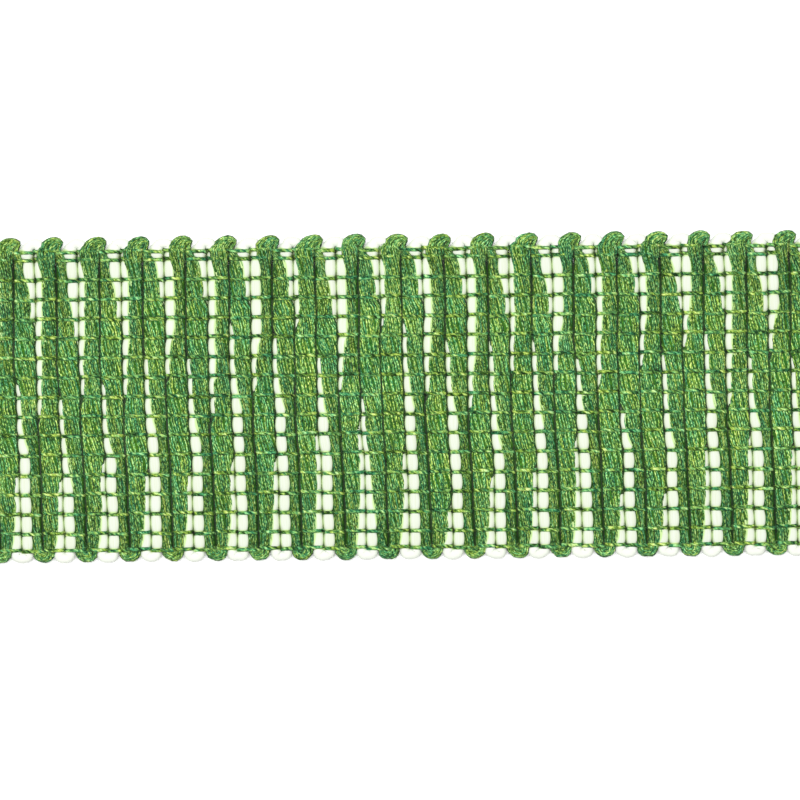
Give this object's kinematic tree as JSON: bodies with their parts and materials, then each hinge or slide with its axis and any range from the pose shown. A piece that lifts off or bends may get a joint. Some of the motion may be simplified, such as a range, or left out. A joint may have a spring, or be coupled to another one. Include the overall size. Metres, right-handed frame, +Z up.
{
  "type": "woven tape trim",
  "caption": "Flat woven decorative tape with raised cross ribs of a green yarn bundle crossing a soft ivory cord, and small looped edges; for edging furnishings and clothes.",
  "frame": {"origin": "middle of the tape, on the surface it lies on", "axes": "+X along the tape, +Y across it towards the edge with the longer loops, +Z up out of its face"},
  "size_m": [0.174, 0.0656, 0.0029],
  "materials": {
    "green_yarn": "heathered spun yarn, matt",
    "ivory_cord": "soft low-twist cord, matt"
  },
  "bodies": {
    "root": {"tape": "green_yarn"}
  },
  "joints": []
}
